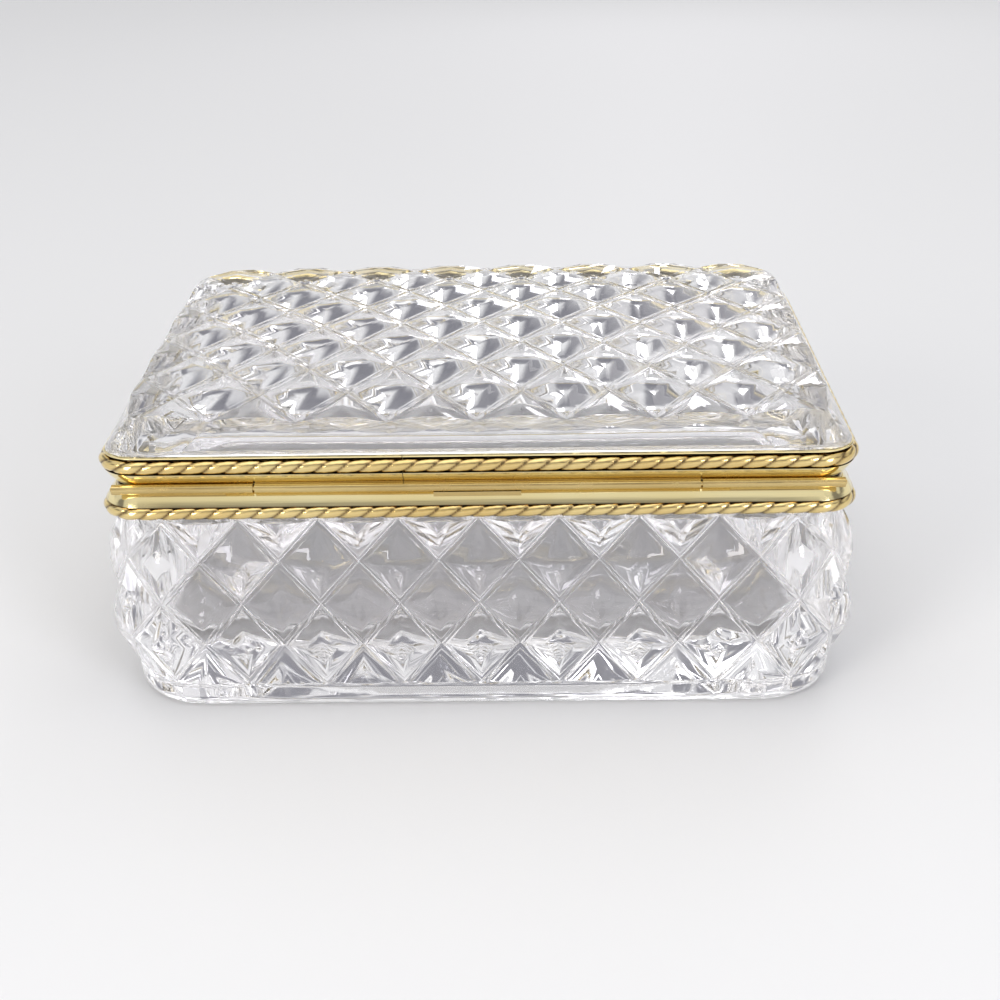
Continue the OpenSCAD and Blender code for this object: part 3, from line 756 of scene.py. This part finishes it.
def rim_stops(start=0.0):
    """Lengths at which a swept section gets a ring: the ends of the straights and the arcs."""
    hx, hy, r = HALF_LONG, HALF_DEEP, RIM_CORNER
    a, b, arc = 2 * (hx - r), 2 * (hy - r), np.pi * r / 2
    legs = np.array([a / 2, arc, b, arc, a, arc, b, arc, a / 2])
    begins = np.concatenate([[0], np.cumsum(legs)[:-1]])
    steps = [begin + np.linspace(0, leg, ARC_STEPS if n % 2 else 6, endpoint=False)
             for n, (begin, leg) in enumerate(zip(begins, legs))]
    stops = np.concatenate(steps)
    total = legs.sum()
    return np.sort(np.mod(stops - start, total)) + start, total


def sweep(section, stops, closed=True):
    """Carries a closed section of (outwards, height) round the rim: faces are quads."""
    x, y, nx, ny, unused = along_rim(stops, 0.0)
    points = np.stack([x[:, None] + nx[:, None] * section[None, :, 0],
                       y[:, None] + ny[:, None] * section[None, :, 0],
                       np.broadcast_to(section[None, :, 1], (len(stops), len(section)))], -1)
    deep, wide = points.shape[:2]
    r, c = np.meshgrid(np.arange(deep if closed else deep - 1), np.arange(wide), indexing="ij")
    after = (c + 1) % wide
    follow = (r + 1) % deep
    quads = np.stack([r * wide + c, r * wide + after, follow * wide + after, follow * wide + c],
                     -1).reshape(-1, 4)
    faces = [quads]
    if not closed:
        faces.append(np.arange(wide)[None, ::-1])
        faces.append((np.arange(wide) + (deep - 1) * wide)[None])
    return points.reshape(-1, 3), faces


def mount_section(lipped):
    """Section of a mount in (outwards from the rim, height from the parting plane, darkening that
    is partly grime and partly painted shade in the crevices).

    The bevel is a straight line with a crown of 0.22 sin(pi t) and a notch of 0.16 mm. The
    lid's wall is turned out over the border in a thin lip, the bowl's ends in a bead.
    """
    t = np.array([0, 0.04, 0.2, 0.4, 0.6, 0.76, 0.82, 0.845, 0.87, 0.95, 1.0])
    notch = np.array([0, 0, 0, 0, 0, 0, 0, 0.16, 0, 0, 0])
    # How dark each point is painted: partly dirt, partly painted shade at the parting crevice, in
    # the notch and where the wall meets the bevel.
    dirt_and_shade = np.array([0.7, 0.1, 0, 0, 0, 0, 0.1, 0.9, 0.3, 0.8, 1.0])
    low = np.array([-BEVEL_EDGE_IN, BEVEL_HEIGHT])
    high = np.array([-BEVEL_TOP_IN, HALF_GAP])
    way = (high - low) / np.linalg.norm(high - low)
    outward = np.array([-way[1], way[0]])
    crown = 0.22 * np.sin(np.pi * t) - notch
    bevel = low + t[:, None] * (high - low) + crown[:, None] * outward
    end = WALL_END
    if lipped:
        end = WALL_END + 0.55
        wall = [[-1.3, end, 0], [-1.12, end - 0.1, 0], [-1.1, end - 0.25, 0],
                [-1.25, end - 0.37, 0.2], [-2.2, end - 0.45, 0.9], [-WALL_IN, 6.2, 1]]
    else:
        wall = [[-2.5, end - 0.1, 0], [-2.25, end - 0.35, 0], [-2.2, end - 0.65, 0.1],
                [-2.45, end - 1.0, 0.6], [-WALL_IN, end - 1.3, 1]]
    wall = np.array(wall + [[-WALL_IN, BEVEL_HEIGHT + 0.2, 1], [-WALL_IN, BEVEL_HEIGHT, 1]])
    back = np.array([[-LIP_BACK_IN, HALF_GAP], [-LIP_BACK_IN, 2.35], [-LIP_BACK_IN + 0.15, 2.5],
                     [-BACK_STRIP_IN - 0.15, 2.5], [-BACK_STRIP_IN, 2.35], [-BACK_STRIP_IN, 0.9],
                     [-WALL_BACK_IN, 0.9], [-WALL_BACK_IN, end], [-2.8, end]])
    return np.concatenate([wall, np.column_stack([bevel, dirt_and_shade]),
                           np.column_stack([back, np.zeros(len(back))])])


# The lid's strip is butted with a gap of twice SEAM_HALF, where the photograph shows the seam
SEAM_AT = 14.6
SEAM_HALF = 0.07
SEAM_CLEAR = 0.3
stops, rim_length = rim_stops()
seam_stops, unused = rim_stops(SEAM_AT)
clear = ((seam_stops > SEAM_AT + SEAM_CLEAR)
         & (seam_stops < SEAM_AT + rim_length - SEAM_CLEAR))
seam_stops = np.concatenate([[SEAM_AT + SEAM_HALF], seam_stops[clear],
                             [SEAM_AT + rim_length - SEAM_HALF]])
for name, up, node, at, closed in (("lid_rolled_mount", 1, "lid_mount", seam_stops, False),
                                   ("bowl_rolled_mount", -1, "bowl_mount", stops, True)):
    shape = mount_section(up > 0) * [1.0, up, 1.0] + [0.0, PARTING, 0.0]
    shape = shape if up < 0 else shape[::-1]
    points, faces = sweep(shape[:, :2], at, closed)
    piece = make_piece(name, points, faces, sheet_brass, [True] * len(faces), 32)
    # The section's darkening, partly dirt and partly painted shade, is kept on the mesh.
    hollow = piece.data.attributes.new("hollow", "FLOAT", "POINT")
    hollow.data.foreach_set("value", np.tile(shape[:, 2], len(at)).astype(np.float32))
    report(piece)
    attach(piece, node.split("_")[0])
    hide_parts(node)

# %% [markdown]
# ## The twisted borders
# Beside each wall lies a border like a cord of two strands, struck in brass. A round bar
# is carried along the rim, and its radius drops in two grooves that wind round it. The depth
# of each point below the strand's top is kept on the mesh, so that the grooves are darkened
# there, partly as dirt and partly as painted shade.

# %% The twisted borders
STRAND_PITCH = 4.4
AROUND = 18
PER_STRAND = 18


def twisted_border(name, height, lean, body, node):
    """A bar of radius R (0.78 + 0.19 |sin(p/2)|^0.6 + 0.03 |sin(3p/2)|^0.7).

    Here p = 2 phi + lean 2 pi s / pitch; the last term is the three wires of a strand."""
    length = along_rim(0.0, BORDER_RADIUS)[4]
    strands = round(length / STRAND_PITCH)
    pitch = length / strands
    s = np.arange(strands * PER_STRAND) * pitch / PER_STRAND
    phi = np.arange(AROUND) * 2 * np.pi / AROUND
    phase = 2 * phi[None] + lean * 2 * np.pi * s[:, None] / pitch
    strand = np.abs(np.sin(phase / 2))
    wires = np.abs(np.sin(1.5 * phase))
    radius = BORDER_RADIUS * (0.78 + 0.19 * strand ** 0.6 + 0.03 * wires ** 0.7)
    x, y, nx, ny, unused = along_rim(s, BORDER_RADIUS)
    out = radius * np.cos(phi)[None]
    points = np.stack([x[:, None] + nx[:, None] * out, y[:, None] + ny[:, None] * out,
                       height + radius * np.sin(phi)[None]], -1)
    deep, wide = points.shape[:2]
    r, c = np.meshgrid(np.arange(deep), np.arange(wide), indexing="ij")
    quads = np.stack([r * wide + c, r * wide + (c + 1) % wide,
                      (r + 1) % deep * wide + (c + 1) % wide, (r + 1) % deep * wide + c], -1)
    piece = make_piece(name, points.reshape(-1, 3), [quads.reshape(-1, 4)[:, ::-1]],
                       twist_brass, [True])
    # The grooves of the twist are darkened: partly dirt, partly painted shade.
    hollow = piece.data.attributes.new("hollow", "FLOAT", "POINT")
    hollow.data.foreach_set("value", ((1 - strand) ** 3).reshape(-1).astype(np.float32))
    report(piece)
    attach(piece, body)
    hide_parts(node)
    print(name, "has", strands, "turns of strand")


twisted_border("bowl_twist", PARTING - BORDER_HEIGHT, 1, "bowl", "bowl_border")
twisted_border("lid_twist", PARTING + BORDER_HEIGHT, 1, "lid", "lid_border")

# %% [markdown]
# ## Hinge, clasp and cement keep their model shapes
# They are small turned, bent and sawn parts whose shape is right as it is, so they only get
# their finish: cement, and brass painted darker as painted shade.

# %% Finish of the model's own pieces
for name, finish in (("left_hinge_knuckle", shaded_hinge_brass), ("right_hinge_knuckle", shaded_hinge_brass),
                     ("centre_hinge_knuckle", shaded_hinge_brass), ("hinge_pin", shaded_hinge_brass),
                     ("stop_lug", shaded_hinge_brass), ("clasp_bracket", shaded_hinge_brass),
                     ("clasp_pin", shaded_hinge_brass), ("clasp_tongue", shaded_hinge_brass),
                     ("catch_bead", shaded_hinge_brass), ("bowl_bedding", cement),
                     ("lid_bedding", cement)):
    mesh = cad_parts[name].data
    for index in range(max(len(mesh.materials), 1)):
        if mesh.materials:
            mesh.materials[index] = finish
        else:
            mesh.materials.append(finish)
print("finished", name, "and the other model pieces")

# %% [markdown]
# ## Camera
# The photograph looks down on the hinge side, almost square on. The camera's place was worked
# out from the rim, the lattice and the foot: it stands 314 mm behind the box and 184 mm up.

# %% Camera
CAMERA_PLACE = (-10.15 * MM, 373.49 * MM, 184.36 * MM)
SENSOR_WIDTH = 36.0
FOCAL_LENGTH = 1743 * SENSOR_WIDTH / 1000
pitch = np.radians(23.37)
yaw = np.radians(-1.03)
roll = np.radians(1.03)
ahead = np.array([-np.sin(yaw) * np.cos(pitch), -np.cos(yaw) * np.cos(pitch), -np.sin(pitch)])
right = np.array([-np.cos(yaw), np.sin(yaw), 0.0])
down = np.cross(ahead, right)
across = np.cos(roll) * right + np.sin(roll) * down
below = -np.sin(roll) * right + np.cos(roll) * down
camera_data = bpy.data.cameras.new("camera")
camera_data.lens = FOCAL_LENGTH
camera_data.sensor_width = SENSOR_WIDTH
camera_data.clip_start = 0.01
camera = bpy.data.objects.new("camera", camera_data)
placed = Matrix.Identity(4)
for column, axis in enumerate((across, -below, -ahead)):
    for line in range(3):
        placed[line][column] = axis[line]
placed.translation = CAMERA_PLACE
camera.matrix_world = placed
bpy.context.scene.collection.objects.link(camera)
bpy.context.scene.camera = camera
print("camera at", [round(v, 3) for v in camera.location], "lens", round(camera_data.lens, 1))

# %% [markdown]
# ## Studio
# A pale floor, a large soft lamp above, two windows behind the camera, and lamps on the far side
# whose light the diamonds bend into view. Crystal shows itself by what it bends, so the
# surroundings have a band of soft grey patches between the pale horizon and the pale top.

# %% Floor, lamps and surroundings
floor_material, tree, shader = new_material("pale_floor")
shader.inputs["Base Color"].default_value = (0.82, 0.82, 0.82, 1)
shader.inputs["Roughness"].default_value = 0.6
FLOOR_GAP = 0.06
FLOOR_RADIUS = 3000
FLOOR_SIDES = 64
corner = np.arange(FLOOR_SIDES)
angles = corner * 2 * np.pi / FLOOR_SIDES
disc = np.stack([FLOOR_RADIUS * np.cos(angles), FLOOR_RADIUS * np.sin(angles),
                 0 * angles - FLOOR_GAP], -1)
fan = np.stack([corner, (corner + 1) % FLOOR_SIDES, np.full(FLOOR_SIDES, FLOOR_SIDES)], -1)
floor = make_piece("floor", np.concatenate([disc, [[0, 0, -FLOOR_GAP]]]), [fan],
                   floor_material, [False])


def soft_lamp(name, place, size, watts, colour):
    """Adds a square lamp of a size in metres at a place, aimed at the middle of the box's foot."""
    lamp = bpy.data.lights.new(name, "AREA")
    lamp.shape = "SQUARE"
    lamp.size = size
    lamp.energy = watts
    lamp.color = colour
    holder = bpy.data.objects.new(name, lamp)
    holder.location = place
    aim = -np.array(place) / np.linalg.norm(place)
    side = np.cross(aim, [0, 0, 1.0])
    side = side / np.linalg.norm(side)
    top = np.cross(side, aim)
    turned = Matrix([[side[k], top[k], -aim[k], place[k]] for k in range(3)] + [[0, 0, 0, 1]])
    holder.matrix_world = turned
    bpy.context.scene.collection.objects.link(holder)


soft_lamp("overhead_lamp", (0.1, 0.25, 1.3), 0.9, 2.2, (1.0, 1.0, 1.0))
soft_lamp("left_window", (0.73, 1.01, 0.53), 0.45, 5.4, (1.0, 0.96, 0.9))
soft_lamp("right_window", (-0.67, 1.05, 0.53), 0.45, 5.0, (0.9, 0.92, 1.0))
soft_lamp("low_left_window", (0.78, 1.08, 0.18), 0.28, 2.2, (0.95, 0.93, 1.0))
soft_lamp("low_right_window", (-0.73, 1.11, 0.18), 0.28, 2.2, (1.0, 0.95, 0.92))
soft_lamp("far_lamp", (-0.5, -1.0, 1.1), 0.6, 0.8, (1.0, 0.98, 0.95))
soft_lamp("low_far_window", (-0.12, -1.0, 0.32), 0.14, 0.25, (0.96, 0.94, 1.0))
world = bpy.data.worlds.new("studio")
bpy.context.scene.world = world
world.use_nodes = True
tree = world.node_tree
tree.nodes.clear()
way = put(tree, "ShaderNodeTexCoord")
parts = put(tree, "ShaderNodeSeparateXYZ", Vector=way.outputs["Generated"])
height = put(tree, "ShaderNodeValToRGB", Fac=parts.outputs["Z"])
stops_of_height = [(0.0, 0.0), (0.26, 0.0), (0.38, 1.0), (0.58, 1.0), (0.72, 0.15)]
for place, level in stops_of_height[1:-1]:
    height.color_ramp.elements.new(place)
for element, (place, level) in zip(height.color_ramp.elements, stops_of_height):
    element.position = place
    element.color = (level, level, level, 1)
panels = put(tree, "ShaderNodeTexNoise", Vector=way.outputs["Generated"], Scale=2.6, Detail=0.0)
dark_panel = put(tree, "ShaderNodeMapRange", {"interpolation_type": "SMOOTHSTEP"},
                 Value=panels.outputs[0], From_Min=0.42, From_Max=0.58, To_Min=0.25, To_Max=1.0)
shade = put(tree, "ShaderNodeMath", {"operation": "MULTIPLY"}, i0=height.outputs["Color"],
            i1=dark_panel.outputs[0])
room = put(tree, "ShaderNodeMix", {"data_type": "RGBA"}, Factor=shade.outputs[0])
room.inputs[6].default_value = (0.88, 0.88, 0.89, 1)
room.inputs[7].default_value = (0.24, 0.24, 0.27, 1)
soft = put(tree, "ShaderNodeBackground", Color=room.outputs[2], Strength=1.0)
final = put(tree, "ShaderNodeOutputWorld", Surface=soft.outputs[0])
bpy.context.scene.view_settings.view_transform = "Standard"
# Light runs round inside thick crystal many times before it comes out
bpy.context.scene.cycles.max_bounces = 40
bpy.context.scene.cycles.glossy_bounces = 16
bpy.context.scene.cycles.transmission_bounces = 32
